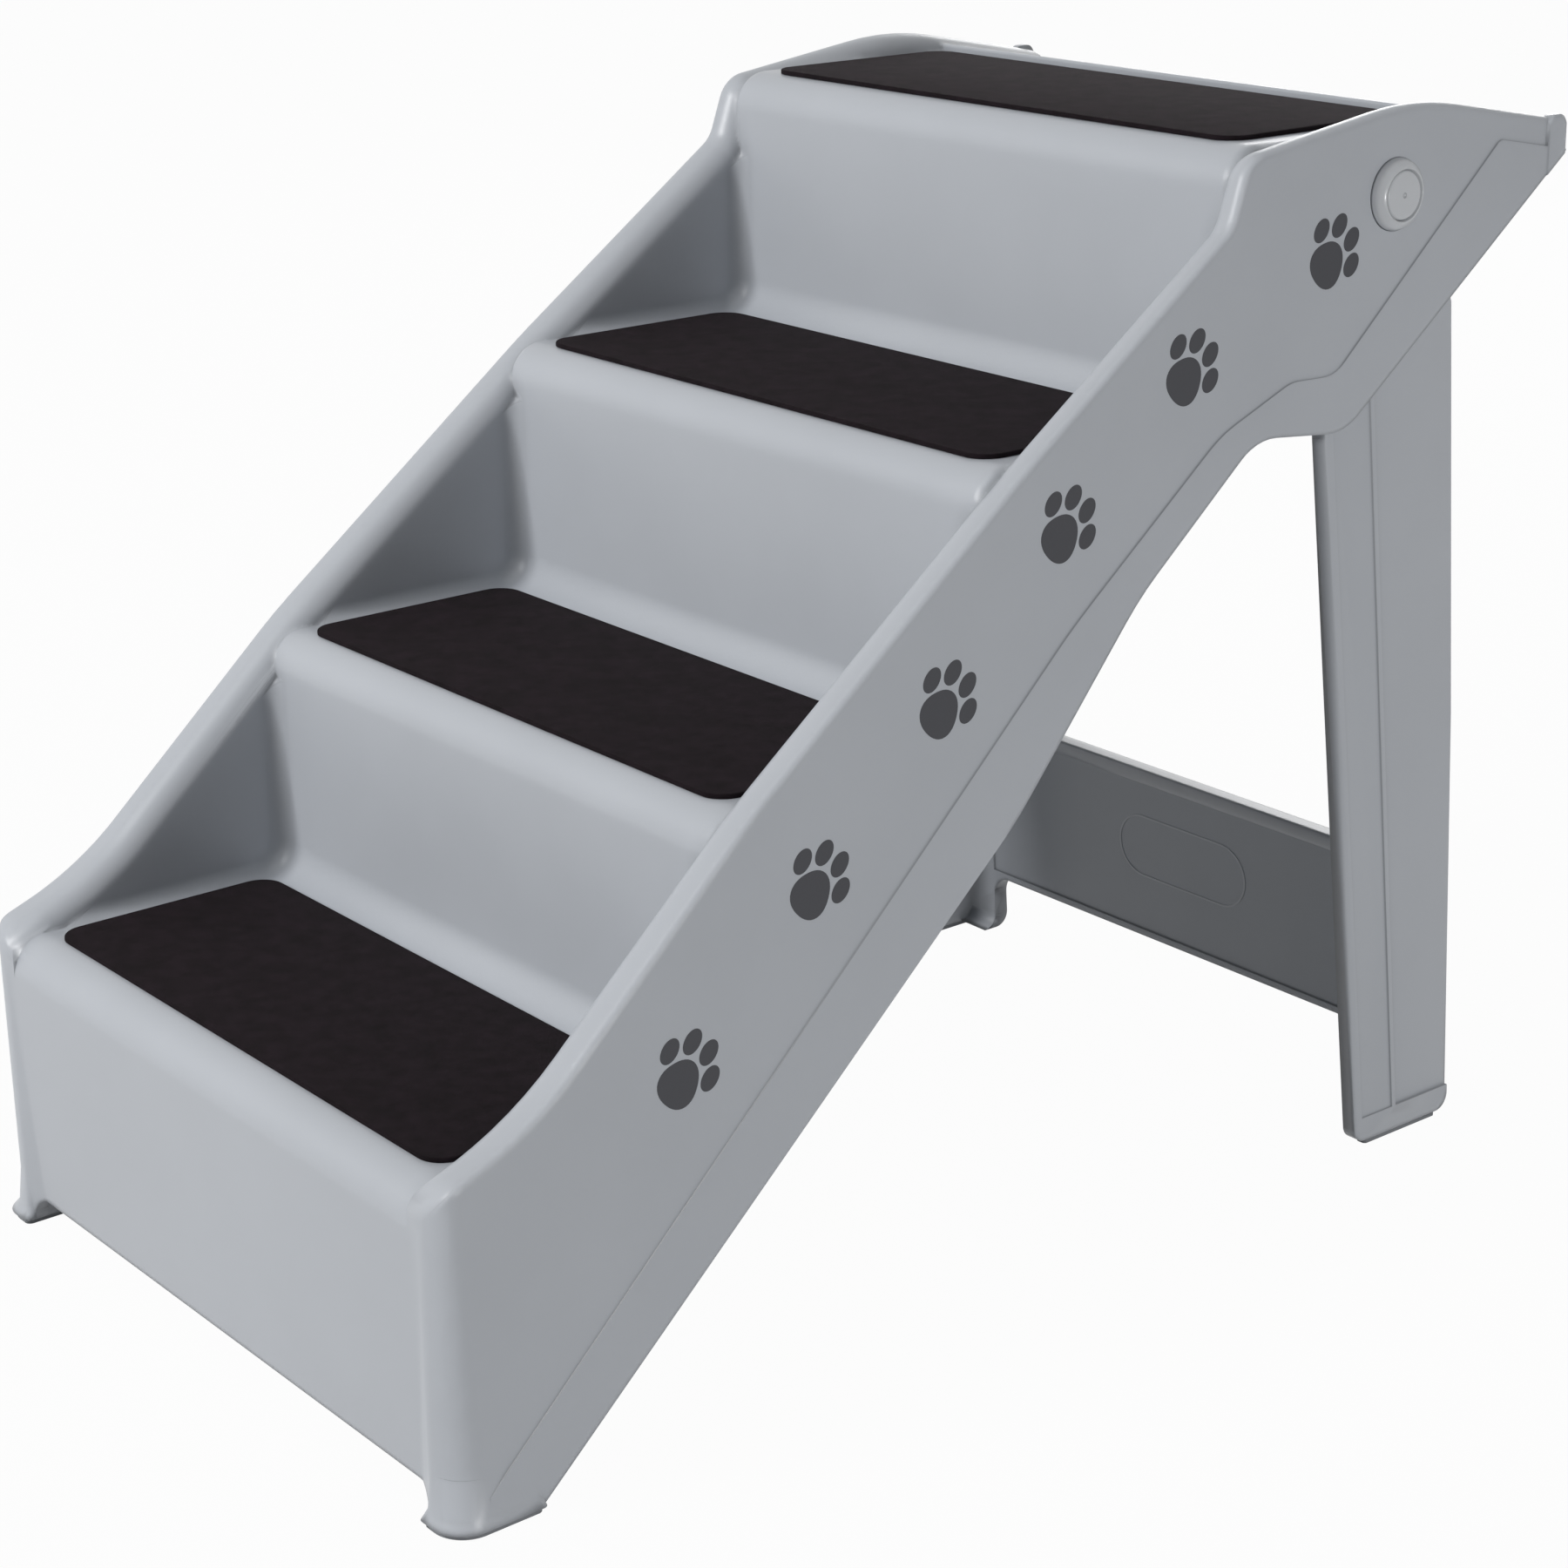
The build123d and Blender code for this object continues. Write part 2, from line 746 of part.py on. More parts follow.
# Stair body: one thin moulding, open underneath
pin_seat = half_width(pivot_z + pin_flange_radius) - seat_gap
boss_inner = leg_outer + seat_gap
fold_edge = (leg_foot_front, pad_thickness - pivot_z)
stop_distance = stop_boss_radius + stop_clearance
open_stop = from_pivot(
    beside_edge(leg_rear_top, head_tangent(leg_rear_top, 1), open_stop_share, stop_distance)
)
fold_stop = folded_place(beside_edge(leg_front_top, fold_edge, fold_stop_share, stop_distance))
with BuildPart() as stair_body:
    add(outer_form())
    add(space_round_deck(), mode=Mode.SUBTRACT)
    add(space_under_steps(), mode=Mode.SUBTRACT)
    add(space_in_sides(), mode=Mode.SUBTRACT)
    # Rim along the rear edge of the top tread
    with BuildSketch(Plane.YZ):
        with Locations((deck_rear - deck_rim_width / 2, top_tread_height)):
            RectangleRounded(deck_rim_width, 2 * deck_rim_height, deck_rim_radius)
    extrude(amount=rail_hollow, both=True)
    # Round seats for the pivot pins, a boss inside each panel, and the stops for the leg frame
    for side in (-1, 1):
        add(across(side, boss_inner, pin_seat - boss_inner, washer_radius))
        for place in (open_stop, fold_stop):
            with BuildSketch(Plane.YZ.offset(side * leg_inner)):
                with Locations(place):
                    Circle(stop_boss_radius)
            extrude(amount=side * (half_width(place[1]) - leg_inner - side_wall / 2))
        seat_radius = pin_flange_radius + cap_recess_clearance
        add(across(side, pin_seat, overrun, seat_radius), mode=Mode.SUBTRACT)
        bore_radius = pin_radius + pin_fit_clearance
        add(across(side, leg_inner, overall_height, bore_radius), mode=Mode.SUBTRACT)
    add(front_pocket(), mode=Mode.SUBTRACT)
    ahead = front_plane - 2 * overrun
    below_feet = [foot_rear, (ahead, pad_thickness), (ahead, -2 * overrun)]
    extrude(under_outline(below_feet), amount=2 * foot_half_width, both=True, mode=Mode.SUBTRACT)
    # Gap between the feet, then the feet themselves
    arch_bottom = -2 * front_gap_radius
    arch_half_width = foot_half_width - foot_width
    with BuildSketch(Plane.XZ.offset(-front_plane - overrun)):
        with Locations((0, (front_gap_height + arch_bottom) / 2)):
            RectangleRounded(2 * arch_half_width, front_gap_height - arch_bottom, front_gap_radius)
    extrude(amount=3 * overrun, mode=Mode.SUBTRACT)
    for side in (-1, 1):
        add(foot_block(side))
    with BuildPart(mode=Mode.SUBTRACT):
        add(inner_block())
        middle = 2 * (arch_half_width + side_wall)
        Box(middle, 2 * overall_length, 3 * overall_height, mode=Mode.SUBTRACT)
        foot_middle = (pad_thickness + foot_floor + foot_height) / 2
        foot_hollow = foot_height - pad_thickness - foot_floor
        with Locations((0, front_plane + foot_length / 2, foot_middle)):
            hollow_length = foot_length - 2 * side_wall
            Box(3 * foot_half_width, hollow_length, foot_hollow, mode=Mode.INTERSECT)
stair_body.part.label = "stair_body"

# Leg frame: two side plates, a channel along the rear edges and a cross member
with BuildPart() as leg_frame:
    extrude(leg_side(0), amount=leg_outer, both=True)
    extrude(leg_side(-overrun), amount=leg_inner, both=True, mode=Mode.SUBTRACT)
    Box(2 * leg_inner, 3 * overall_length, 3 * overall_height, mode=Mode.SUBTRACT)
    add(rear_band(0, frame_depth, leg_inner + leg_gap))
    add(frame_openings(), mode=Mode.SUBTRACT)
    add(channel_space(), mode=Mode.SUBTRACT)
    recess_low = cross_bottom_height + frame_rim
    recess_high = cross_top_height - frame_rim
    recess_bars = [(-frame_half_gap, frame_half_gap, recess_low, recess_high)]
    with BuildPart(mode=Mode.SUBTRACT):
        add(rear_band(frame_depth - cross_recess, frame_depth + overrun, leg_inner))
        add(upright_bars(recess_bars), mode=Mode.INTERSECT)
    band_top = pad_thickness + leg_foot_band - pivot_z
    front_foot = (leg_foot_front, pad_thickness - pivot_z)
    front_top = on_line(leg_front_top, front_foot, leg_panel_top)
    front_low = on_line(leg_front_top, front_foot, band_top)
    ridge_top = on_line(leg_ridge_top, leg_ridge_foot, leg_panel_top)
    ridge_low = on_line(leg_ridge_top, leg_ridge_foot, band_top)
    half_ridge = leg_ridge_width / 2
    rear_reach = leg_foot_rear + overrun
    for side in (-1, 1):
        front_panel = [
            (front_top[0] + leg_front_strip, leg_panel_top),
            (ridge_top[0] - half_ridge, leg_panel_top),
            (ridge_low[0] - half_ridge, band_top),
            (front_low[0] + leg_front_strip, band_top),
        ]
        rear_panel = [
            (ridge_top[0] + half_ridge, leg_panel_top),
            (rear_reach, leg_panel_top),
            (rear_reach, band_top),
            (ridge_low[0] + half_ridge, band_top),
        ]
        add(leg_face_recess(side, leg_panel_depth, front_panel), mode=Mode.SUBTRACT)
        add(leg_face_recess(side, leg_rear_panel_depth, rear_panel), mode=Mode.SUBTRACT)
        bore_radius = pin_radius + pin_running_clearance
        add(across(side, leg_inner - overrun, leg_plate + 2 * overrun, bore_radius), mode=Mode.SUBTRACT)
leg_frame.part.label = "leg_frame"

# Tread mats
mats = []
for step in range(step_count):
    front = first_riser + step * step_run + mat_setback
    height = first_tread_height + step * step_rise + glue_line
    with BuildPart() as mat:
        with BuildSketch(Plane.XY.offset(height)):
            with Locations((0, front + mat_depth / 2)):
                RectangleRounded(2 * mat_half_width, mat_depth, mat_corner_radius)
        extrude(amount=mat_thickness)
    mat.part.label = "tread_mat_" + str(step + 1)
    mats.append(mat)


def pivot_pin(side):
    """The flanged hollow pin that a leg turns on, with a groove for its retaining ring."""
    flange_out = pin_seat + pin_flange_thickness
    shoulder_out = pin_seat + pin_shoulder_height
    with BuildPart() as pin:
        # The flange is a low dome in two cones round the cap's recess
        for near, far, near_radius, far_radius in (
            (pin_seat, shoulder_out, pin_flange_radius, pin_shoulder_radius),
            (shoulder_out, flange_out, pin_shoulder_radius, pin_crest_radius),
        ):
            with BuildPart():
                with BuildSketch(pivot_plane(side, near)):
                    Circle(near_radius)
                with BuildSketch(pivot_plane(side, far)):
                    Circle(far_radius)
                loft()
        add(across(side, pin_end, pin_seat - pin_end, pin_radius))
        recess_floor = flange_out - cap_thickness - seat_gap
        recess_radius = cap_radius + cap_recess_clearance
        add(across(side, recess_floor, overrun, recess_radius), mode=Mode.SUBTRACT)
        add(across(side, pin_end - overrun, flange_out, pin_bore_radius), mode=Mode.SUBTRACT)
        groove_width = clip_thickness + 2 * seat_gap
        groove_radius = pin_radius - clip_groove_depth
        with BuildPart(mode=Mode.SUBTRACT):
            add(across(side, clip_seat - seat_gap, groove_width, pin_radius + overrun))
            add(across(side, clip_seat - overrun, 3 * overrun, groove_radius), mode=Mode.SUBTRACT)
    return pin


def pivot_cap(side):
    """The round cap that closes the pin's outer end, with a stem that snaps into its bore."""
    cap_out = pin_seat + pin_flange_thickness
    with BuildPart() as cap:
        add(across(side, cap_out - cap_thickness, cap_thickness, cap_radius))
        outer_edge = cap.edges().filter_by(GeomType.CIRCLE).sort_by(Axis.X)[-1 if side > 0 else 0]
        chamfer(outer_edge, length=cap_edge)
        stem_radius = pin_bore_radius - cap_stem_clearance
        add(across(side, cap_out - cap_thickness - cap_stem_length, cap_stem_length, stem_radius))
        add(across(side, cap_out - cap_dimple_depth, overrun, cap_dimple_radius), mode=Mode.SUBTRACT)
    return cap


def pivot_washer(side):
    """The plain washer between the leg's inner face and the retaining ring."""
    with BuildPart() as washer:
        add(across(side, washer_seat, washer_thickness, washer_radius))
        bore_radius = pin_radius + pin_running_clearance
        add(across(side, washer_seat - overrun, 3 * overrun, bore_radius), mode=Mode.SUBTRACT)
    return washer


def pivot_clip(side):
    """The split retaining ring that sits in the pin's groove."""
    with BuildPart() as clip:
        add(across(side, clip_seat, clip_thickness, clip_radius))
        bore_radius = pin_radius - clip_groove_depth + seat_gap
        add(across(side, clip_seat - overrun, 3 * overrun, bore_radius), mode=Mode.SUBTRACT)
        with Locations((side * clip_seat, pivot_y, pivot_z - clip_radius)):
            Box(2 * overrun, clip_gap, 2 * clip_radius, mode=Mode.SUBTRACT)
    return clip


def front_foot_pad(side):
    """The rubber pad under a front foot."""
    with BuildPart() as pad:
        with Locations((0, 0, -pad_thickness)):
            add(foot_outline(side, pad_thickness, foot_flare - pad_inset, pad_inset))
        extrude(amount=pad_thickness)
    return pad


def rear_foot_pad(side):
    """The rubber strip under a leg."""
    front = pivot_y + leg_foot_front + leg_foot_radius
    rear = pivot_y + leg_foot_rear - leg_foot_radius
    width = leg_plate - 2 * leg_pad_inset
    with BuildPart() as pad:
        with BuildSketch():
            with Locations((side * (leg_inner + leg_plate / 2), (front + rear) / 2)):
                RectangleRounded(width, rear - front, width / 3)
        extrude(amount=pad_thickness)
    return pad


os.makedirs("parts", exist_ok=True)
pieces = [stair_body, leg_frame, *mats]
names = ("right", "left")
makers = {
    "pivot_pin": pivot_pin,
    "pivot_cap": pivot_cap,
    "pivot_washer": pivot_washer,
    "pivot_clip": pivot_clip,
    "front_foot_pad": front_foot_pad,
    "rear_foot_pad": rear_foot_pad,
}
for kind, maker in makers.items():
    for name, side in zip(names, (1, -1)):
        piece = maker(side)
        piece.part.label = kind + "_" + name
        pieces.append(piece)
for piece in pieces:
    export_step(piece.part, "parts/" + piece.part.label + ".step")
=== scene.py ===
# %% [markdown]
# # Folding pet stairs
# The stairs are one grey moulding with four treads, carried at the back by a leg frame that
# swings forward on two pins. This script gives them their finish: satin moulded plastic,
# needled felt, printed paw marks, plated steel and rubber.

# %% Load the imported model
import json
from math import atan2, cos, pi, radians

import bmesh
import bpy
from mathutils import Matrix, Vector


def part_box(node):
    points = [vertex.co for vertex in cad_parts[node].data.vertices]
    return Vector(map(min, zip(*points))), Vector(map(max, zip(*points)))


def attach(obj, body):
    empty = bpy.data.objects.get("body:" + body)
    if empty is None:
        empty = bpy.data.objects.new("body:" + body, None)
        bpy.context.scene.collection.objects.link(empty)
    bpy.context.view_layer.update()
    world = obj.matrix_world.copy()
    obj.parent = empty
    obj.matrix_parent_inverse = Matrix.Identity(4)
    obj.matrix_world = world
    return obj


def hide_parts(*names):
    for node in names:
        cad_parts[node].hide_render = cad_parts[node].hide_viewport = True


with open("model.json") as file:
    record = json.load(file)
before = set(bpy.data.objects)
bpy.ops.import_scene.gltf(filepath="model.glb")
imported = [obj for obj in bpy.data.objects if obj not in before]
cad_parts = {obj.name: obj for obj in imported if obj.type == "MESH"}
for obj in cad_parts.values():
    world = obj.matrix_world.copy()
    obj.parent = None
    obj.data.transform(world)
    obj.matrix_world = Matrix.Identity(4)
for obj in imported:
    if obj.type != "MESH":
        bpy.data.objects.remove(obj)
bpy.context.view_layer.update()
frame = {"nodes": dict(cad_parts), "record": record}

# %% [markdown]
# ## Units
# Sizes are written in millimetres, because that is how the real mouldings are drawn, and
# turned to metres where they are used.

# %% Units
MM = 0.001

# %% [markdown]
# ## Colours and nodes
# Colours are sRGB hex values, as a colour picker shows them. Blender's shaders work in
# linear light, so one function turns them round. Another adds a node with its settings and
# links, which keeps each material short enough to read. A Mix node has several sockets with
# the same name, so its two colours and its colour result are called by their numbers.

# %% Colour and node helpers
MIX_LOW = 6
MIX_HIGH = 7
MIX_COLOUR = 2


def linear(hex_colour):
    """An sRGB hex value as linear red, green, blue and alpha."""
    shares = [int(hex_colour[start:start + 2], 16) / 255 for start in (1, 3, 5)]
    light = [c / 12.92 if c <= 0.04045 else ((c + 0.055) / 1.055) ** 2.4 for c in shares]
    return (*light, 1.0)


def new_material(name):
    """A material with a bare Principled shader, its node tree and that shader's node."""
    material = bpy.data.materials.new(name)
    material.use_nodes = True
    tree = material.node_tree
    tree.nodes.clear()
    surface = tree.nodes.new("ShaderNodeBsdfPrincipled")
    output = tree.nodes.new("ShaderNodeOutputMaterial")
    tree.links.new(surface.outputs["BSDF"], output.inputs["Surface"])
    return material, tree, surface


def add_node(tree, kind, settings=None, inputs=None):
    """A node with its settings; an input is a value or another node's output."""
    node = tree.nodes.new(kind)
    for name, value in (settings or {}).items():
        setattr(node, name, value)
    for name, value in (inputs or {}).items():
        if isinstance(value, bpy.types.NodeSocket):
            tree.links.new(value, node.inputs[name])
        else:
            node.inputs[name].default_value = value
    return node


# %% [markdown]
# ## Grey moulded polypropylene
# The stairs and the leg frame are injection-moulded polypropylene. The mould is spark-eroded
# to a fine even grain, which breaks up reflections into a soft satin sheen. Large mouldings
# also cool unevenly, so the sheen wanders a little from place to place. Two noise patterns on
# Object coordinates give the grain and the wander. The real grain is about 0.3 mm; it is
# drawn at 0.9 mm, so that it shows at the render's distance. Moulded edges catch the light
# softly. A bevel modifier could round them, but it would change the CAD model's outline, so
# a Bevel node rounds only their shading. Shade is painted into creases and inner corners: an
# Ambient Occlusion node with a short reach finds them, and the colour there darkens to grey.

# %% Moulded plastic
GRAIN_MM = 0.9
GRAIN_DEPTH_MM = 0.05
SHEEN_PATCH_MM = 90.0
SHEEN_DROP = 0.04
SHEEN_RISE = 0.05
# Painted shade for creases and inner corners: how far it reaches, and its grey
PAINTED_SHADE_REACH_MM = 12.0
PAINTED_CREASE_SHADE_COLOUR = "#63666B"
EDGE_SAMPLES = 6
PLASTIC_IOR = 1.49


def moulded_plastic(name, pale, dark, roughness, edge_mm):
    """Satin moulded plastic with soft edges, slightly wandering colour and sheen, and painted
    shade in its creases.
    """
    material, tree, surface = new_material(name)
    where = add_node(tree, "ShaderNodeTexCoord")
    patches = add_node(
        tree, "ShaderNodeTexNoise", None,
        {"Vector": where.outputs["Object"], "Scale": 1 / (SHEEN_PATCH_MM * MM), "Detail": 3.0},
    )
    grain = add_node(
        tree, "ShaderNodeTexNoise", None,
        {"Vector": where.outputs["Object"], "Scale": 1 / (GRAIN_MM * MM), "Detail": 2.0},
    )
    shade = add_node(
        tree, "ShaderNodeMix", {"data_type": "RGBA"},
        {"Factor": patches.outputs["Fac"], MIX_LOW: linear(dark), MIX_HIGH: linear(pale)},
    )
    sheen = add_node(
        tree, "ShaderNodeMapRange", None,
        {
            "Value": patches.outputs["Fac"],
            "To Min": roughness - SHEEN_DROP,
            "To Max": roughness + SHEEN_RISE,
        },
    )
    # Painted shade: the colour darkens towards a grey where other faces of the piece are near
    nearness = add_node(
        tree, "ShaderNodeAmbientOcclusion", {"samples": EDGE_SAMPLES, "only_local": True},
        {"Distance": PAINTED_SHADE_REACH_MM * MM},
    )
    painted_crease_shade = add_node(
        tree, "ShaderNodeMix", {"data_type": "RGBA"},
        {
            "Factor": nearness.outputs["AO"],
            MIX_LOW: linear(PAINTED_CREASE_SHADE_COLOUR),
            MIX_HIGH: shade.outputs[MIX_COLOUR],
        },
    )
    edges = add_node(
        tree, "ShaderNodeBevel", {"samples": EDGE_SAMPLES}, {"Radius": edge_mm * MM},
    )
    bump = add_node(
        tree, "ShaderNodeBump", None,
        {
            "Strength": 0.12,
            "Distance": GRAIN_DEPTH_MM * MM,
            "Height": grain.outputs["Fac"],
            "Normal": edges.outputs["Normal"],
        },
    )
    tree.links.new(painted_crease_shade.outputs[MIX_COLOUR], surface.inputs["Base Color"])
    tree.links.new(sheen.outputs["Result"], surface.inputs["Roughness"])
    tree.links.new(bump.outputs["Normal"], surface.inputs["Normal"])
    surface.inputs["IOR"].default_value = PLASTIC_IOR
    return material


# %% [markdown]
# ## Three moulded finishes
# The large mouldings have the satin grain. The pins are acetal from a polished tool, which
# looks smoother, and their colour is set a shade paler than the body's. Thin raised lines
# stand where things rub them smooth, so they are a little glossier; their colour is paler
# too, which paints a highlight along them.

# %% Plastics
body_plastic = moulded_plastic(
    "satin_grey_polypropylene", "#B9BDC3", "#B0B4BA", roughness=0.36, edge_mm=4.0,
)
pin_plastic = moulded_plastic(
    "smooth_grey_acetal", "#CCCFD3", "#C6C9CD", roughness=0.24, edge_mm=0.4,
)
# Painted highlight: the raised lines' colour is set paler than the body's
line_plastic_painted_highlight = moulded_plastic(
    "polished_grey_polypropylene_painted_highlight", "#C9CCD1", "#C2C5CA", roughness=0.30, edge_mm=0.2,
)
print("plastics:", body_plastic.name, pin_plastic.name, line_plastic_painted_highlight.name)

# %% [markdown]
# ## Needled felt
# The treads carry mats of near-black needle-punched polyester felt. Barbed needles tangle
# loose fibres into a mat, which leaves short fibres lying every way and a soft, slightly
# cloudy surface. Hair strands could show single fibres, but at this distance they are too
# short to be told apart, so noise does it: a finely distorted one of 0.8 mm for the fibre
# bundles and a coarse one of 9 mm for the clumps. A little sheen stands for the fibre ends
# that catch light.

# %% Felt
FIBRE_MM = 0.8
FIBRE_DEPTH_MM = 0.5
FIBRE_SHARE = 0.7
CLUMP_MM = 9.0
FELT_DARK = "#0F0A0C"
FELT_PALE = "#1F171C"
FELT_SHEEN = "#6A6266"


def needled_felt(name):
    """Near-black felt with fibres, clumps and a faint fuzzy sheen."""
    material, tree, surface = new_material(name)
    where = add_node(tree, "ShaderNodeTexCoord")
    fibres = add_node(
        tree, "ShaderNodeTexNoise", None,
        {
            "Vector": where.outputs["Object"],
            "Scale": 1 / (FIBRE_MM * MM),
            "Detail": 6.0,
            "Roughness": 0.75,
            "Distortion": 1.5,
        },
    )
    clumps = add_node(
        tree, "ShaderNodeTexNoise", None,
        {"Vector": where.outputs["Object"], "Scale": 1 / (CLUMP_MM * MM), "Detail": 4.0},
    )
    blend = add_node(
        tree, "ShaderNodeMath", {"operation": "MULTIPLY_ADD"},
        {0: fibres.outputs["Fac"], 1: FIBRE_SHARE, 2: clumps.outputs["Fac"]},
    )
    spread = add_node(
        tree, "ShaderNodeMapRange", None,
        {"Value": blend.outputs["Value"], "From Min": 0.6, "From Max": 1.1},
    )
    shade = add_node(
        tree, "ShaderNodeMix", {"data_type": "RGBA"},
        {
            "Factor": spread.outputs["Result"],
            MIX_LOW: linear(FELT_DARK),
            MIX_HIGH: linear(FELT_PALE),
        },
    )
    bump = add_node(
        tree, "ShaderNodeBump", None,
        {"Strength": 0.8, "Distance": FIBRE_DEPTH_MM * MM, "Height": fibres.outputs["Fac"]},
    )
    tree.links.new(shade.outputs[MIX_COLOUR], surface.inputs["Base Color"])
    tree.links.new(bump.outputs["Normal"], surface.inputs["Normal"])
    surface.inputs["Roughness"].default_value = 0.95
    surface.inputs["Sheen Weight"].default_value = 0.08
    surface.inputs["Sheen Roughness"].default_value = 0.5
    surface.inputs["Sheen Tint"].default_value = linear(FELT_SHEEN)
    surface.inputs["Specular IOR Level"].default_value = 0.12
    return material


mat_felt = needled_felt("needle_punched_felt")
print("felt:", mat_felt.name)

# %% [markdown]
# ## Printing ink, rubber and plated steel
# The paw marks are pad-printed in a dark grey ink that dries to a soft matt film. The feet
# stand on grey moulded rubber, which is dull because its surface is slightly rough. The
# washers and retaining rings are zinc-plated steel, bright but clouded by the plating's
# crystals. All three are even finishes, so one function with fine specks serves them. The
# specks are drawn at 1 to 2 mm, coarser than the real ones, so that they show.

# %% Ink, rubber and steel
def speckled(name, pale, dark, roughness, speck_mm, metallic=0.0, depth_mm=0.02):
    """A plain finish with fine specks in its colour and surface."""
    material, tree, surface = new_material(name)
    where = add_node(tree, "ShaderNodeTexCoord")
    specks = add_node(
        tree, "ShaderNodeTexNoise", None,
        {"Vector": where.outputs["Object"], "Scale": 1 / (speck_mm * MM), "Detail": 4.0},
    )
    shade = add_node(
        tree, "ShaderNodeMix", {"data_type": "RGBA"},
        {"Factor": specks.outputs["Fac"], MIX_LOW: linear(dark), MIX_HIGH: linear(pale)},
    )
    bump = add_node(
        tree, "ShaderNodeBump", None,
        {"Strength": 0.3, "Distance": depth_mm * MM, "Height": specks.outputs["Fac"]},
    )
    tree.links.new(shade.outputs[MIX_COLOUR], surface.inputs["Base Color"])
    tree.links.new(bump.outputs["Normal"], surface.inputs["Normal"])
    surface.inputs["Roughness"].default_value = roughness
    surface.inputs["Metallic"].default_value = metallic
    return material


paw_ink = speckled(
    "matt_pad_printing_ink", "#313238", "#2B2C31", roughness=0.6, speck_mm=0.8,
)
foot_rubber = speckled(
    "grey_moulded_rubber", "#85888C", "#7A7D81", roughness=0.8, speck_mm=1.2,
)
plated_steel = speckled(
    "zinc_plated_steel", "#B8BABD", "#9EA0A4", roughness=0.35, speck_mm=2.0, metallic=1.0,
)
print("other finishes:", paw_ink.name, foot_rubber.name, plated_steel.name)

# %% [markdown]
# ## From bmesh to piece
# Every piece is shaped as a bmesh, a mesh in memory that operators change step by step. Its
# last steps come back again and again, so each is a small function. The bmesh becomes a mesh
# and is freed. Rounded pieces are shaded smooth up to their true edges. The object is then
# put in the scene with the body that carries it and the slot of its finish.

# %% Piece helpers
SHARP_ANGLE = radians(32)


def body_of(node):
    """The body that carries a CAD node."""
    for name, nodes in frame["record"]["behaviour"]["bodies"].items():
        if node in nodes:
            return name
    raise KeyError(node)


def mesh_of(shape, name):
    """The mesh of a finished bmesh, which is freed."""
    mesh = bpy.data.meshes.new(name)
    shape.to_mesh(mesh)
    shape.free()
    return mesh


def shade_by_angle(mesh):
    """Smooth shading that stops at the true edges."""
    mesh.shade_smooth()
    mesh.set_sharp_from_angle(angle=SHARP_ANGLE)


def place(mesh, name, body, material):
    """Put a finished mesh in the scene, on its body and with its finish."""
    piece = bpy.data.objects.new(name, mesh)
    bpy.context.scene.collection.objects.link(piece)
    mesh.materials.clear()
    mesh.materials.append(material)
    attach(piece, body)
    return piece


# %% [markdown]
# ## Smooth mouldings
# The CAD solids arrive as loose triangles, and their form is already right, so nothing is
# modelled again. A copy of each is merged into one skin, which lets its faces share normals.
# The normals are weighted by face area, so that flats stay flat and rounded edges look round.

# %% Dress the CAD pieces
MERGE_MM = 0.002
FLATNESS_WEIGHT = 60


def dress(node, material):
    """A merged, smooth-shaded copy of a CAD node that stands for it."""
    source = frame["nodes"][node]
    skin = bmesh.new()
    skin.from_mesh(source.data)
    bmesh.ops.remove_doubles(skin, verts=skin.verts, dist=MERGE_MM * MM)
    mesh = mesh_of(skin, node + "_skin")
    shade_by_angle(mesh)
    piece = place(mesh, node + "_finish", body_of(node), material)
    weighted = piece.modifiers.new("weighted", "WEIGHTED_NORMAL")
    weighted.keep_sharp = True
    weighted.weight = FLATNESS_WEIGHT
    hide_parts(node)
    return piece


finishes = {
    "body_plastic": body_plastic,
    "pin_plastic": pin_plastic,
    "plated_steel": plated_steel,
    "foot_rubber": foot_rubber,
}
dressed = [
    dress(part["node"], finishes[part["material_slot"]])
    for part in frame["record"]["subparts"]
    if part["material_slot"] in finishes
]
print("dressed solids:", len(dressed))

# %% [markdown]
# ## Tread mats
# Each mat is a die-cut rectangle of felt with rounded corners, glued down. A flat face has
# its corners rounded by a vertex bevel and is then extruded upwards. A Solidify modifier
# could thicken it as well, but an extruded one has a rim that can be bevelled on its own,
# and that gives the soft upper edge which the cutter pressed down.

# %% Felt mats
CORNER_MM = 12.0
CORNER_SEGMENTS = 8
EDGE_ROLL_MM = 0.7
LEVEL_WITHIN_MM = 0.01


def rounded_rectangle(middle, width, depth, corner, segments):
    """A bmesh of one flat rectangle with rounded corners."""
    shape = bmesh.new()
    bmesh.ops.create_grid(shape, x_segments=1, y_segments=1, size=0.5)
    bmesh.ops.scale(shape, vec=(width, depth, 1), verts=shape.verts)
    bmesh.ops.translate(shape, vec=middle, verts=shape.verts)
    bmesh.ops.bevel(
        shape, geom=list(shape.verts), offset=corner, affect="VERTICES",
        segments=segments, profile=0.5, material=-1,
    )
    return shape


def thicken(shape, shift):
    """Extrude every face of a flat bmesh and move the new side by a vector."""
    extruded = bmesh.ops.extrude_face_region(shape, geom=list(shape.faces))
    moved = [item for item in extruded["geom"] if isinstance(item, bmesh.types.BMVert)]
    bmesh.ops.translate(shape, vec=shift, verts=moved)


